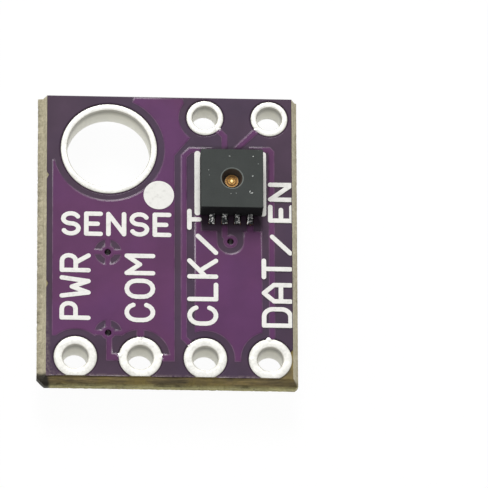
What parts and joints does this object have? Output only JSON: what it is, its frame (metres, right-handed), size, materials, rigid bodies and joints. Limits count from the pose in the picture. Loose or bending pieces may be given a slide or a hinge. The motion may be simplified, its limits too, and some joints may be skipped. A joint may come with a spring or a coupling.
{
  "type": "temperature humidity sensor module",
  "caption": "Small circuit board with a humidity and temperature sensor, a plated mounting hole, a row of wire holes along one edge and further holes opposite.",
  "frame": {"origin": "middle of the footprint, torn edge webs included, level with the lowest back component", "axes": "+X along the row of wire holes, from supply to data; +Y from that row towards the mounting hole; +Z out of the component side"},
  "size_m": [0.0102, 0.012, 0.0027],
  "materials": {
    "laminate": "torn glass-fibre laminate, brown in the score grooves",
    "solder_mask": "glossy dark violet, lighter plum over copper",
    "copper_foil": "etched copper under the mask",
    "tinned_metal": "bright tin, slightly uneven",
    "solder": "shiny reflowed solder",
    "white_ink": "screen-printed white ink",
    "moulding": "fine matt mould compound with dust specks",
    "silicon": "polished silicon",
    "gold_film": "thin film with concentric rings",
    "resistor_ceramic": "white alumina",
    "resistor_glass": "black glass coat, no print",
    "capacitor_ceramic": "fired brown ceramic"
  },
  "bodies": {
    "root": {"woven_laminate": "laminate", "front_mask": "solder_mask", "back_mask": "solder_mask", "front_ground_copper": "copper_foil", "sensor_ground_copper": "copper_foil", "clock_trace": "copper_foil", "data_trace": "copper_foil", "alert_trace": "copper_foil", "address_trace": "copper_foil", "reset_trace": "copper_foil", "supply_trace": "copper_foil", "back_ground_copper": "copper_foil", "back_supply_rail": "copper_foil", "back_clock_link": "copper_foil", "back_data_link": "copper_foil", "back_address_link": "copper_foil", "supply_terminal": "tinned_metal", "ground_terminal": "tinned_metal", "clock_terminal": "tinned_metal", "data_terminal": "tinned_metal", "alert_terminal": "tinned_metal", "address_terminal": "tinned_metal", "mounting_hole_lining": "tinned_metal", "ground_via_upper": "copper_foil", "ground_via_lower": "copper_foil", "reset_via": "copper_foil", "supply_via": "copper_foil", "sensor_pad_via": "copper_foil", "orientation_dot": "white_ink", "sensor_outline_bars": "white_ink", "sensor_body": "moulding", "sensor_die": "silicon", "sensing_film": "gold_film", "sensor_leads": "tinned_metal", "sensor_centre_pad": "tinned_metal", "sensor_solder": "solder", "clock_resistor_body": "resistor_ceramic", "clock_resistor_coat": "resistor_glass", "clock_resistor_caps": "tinned_metal", "data_resistor_body": "resistor_ceramic", "data_resistor_coat": "resistor_glass", "data_resistor_caps": "tinned_metal", "address_resistor_body": "resistor_ceramic", "address_resistor_coat": "resistor_glass", "address_resistor_caps": "tinned_metal", "capacitor_body": "capacitor_ceramic", "capacitor_caps": "tinned_metal", "chip_solder": "solder"}
  },
  "joints": []
}
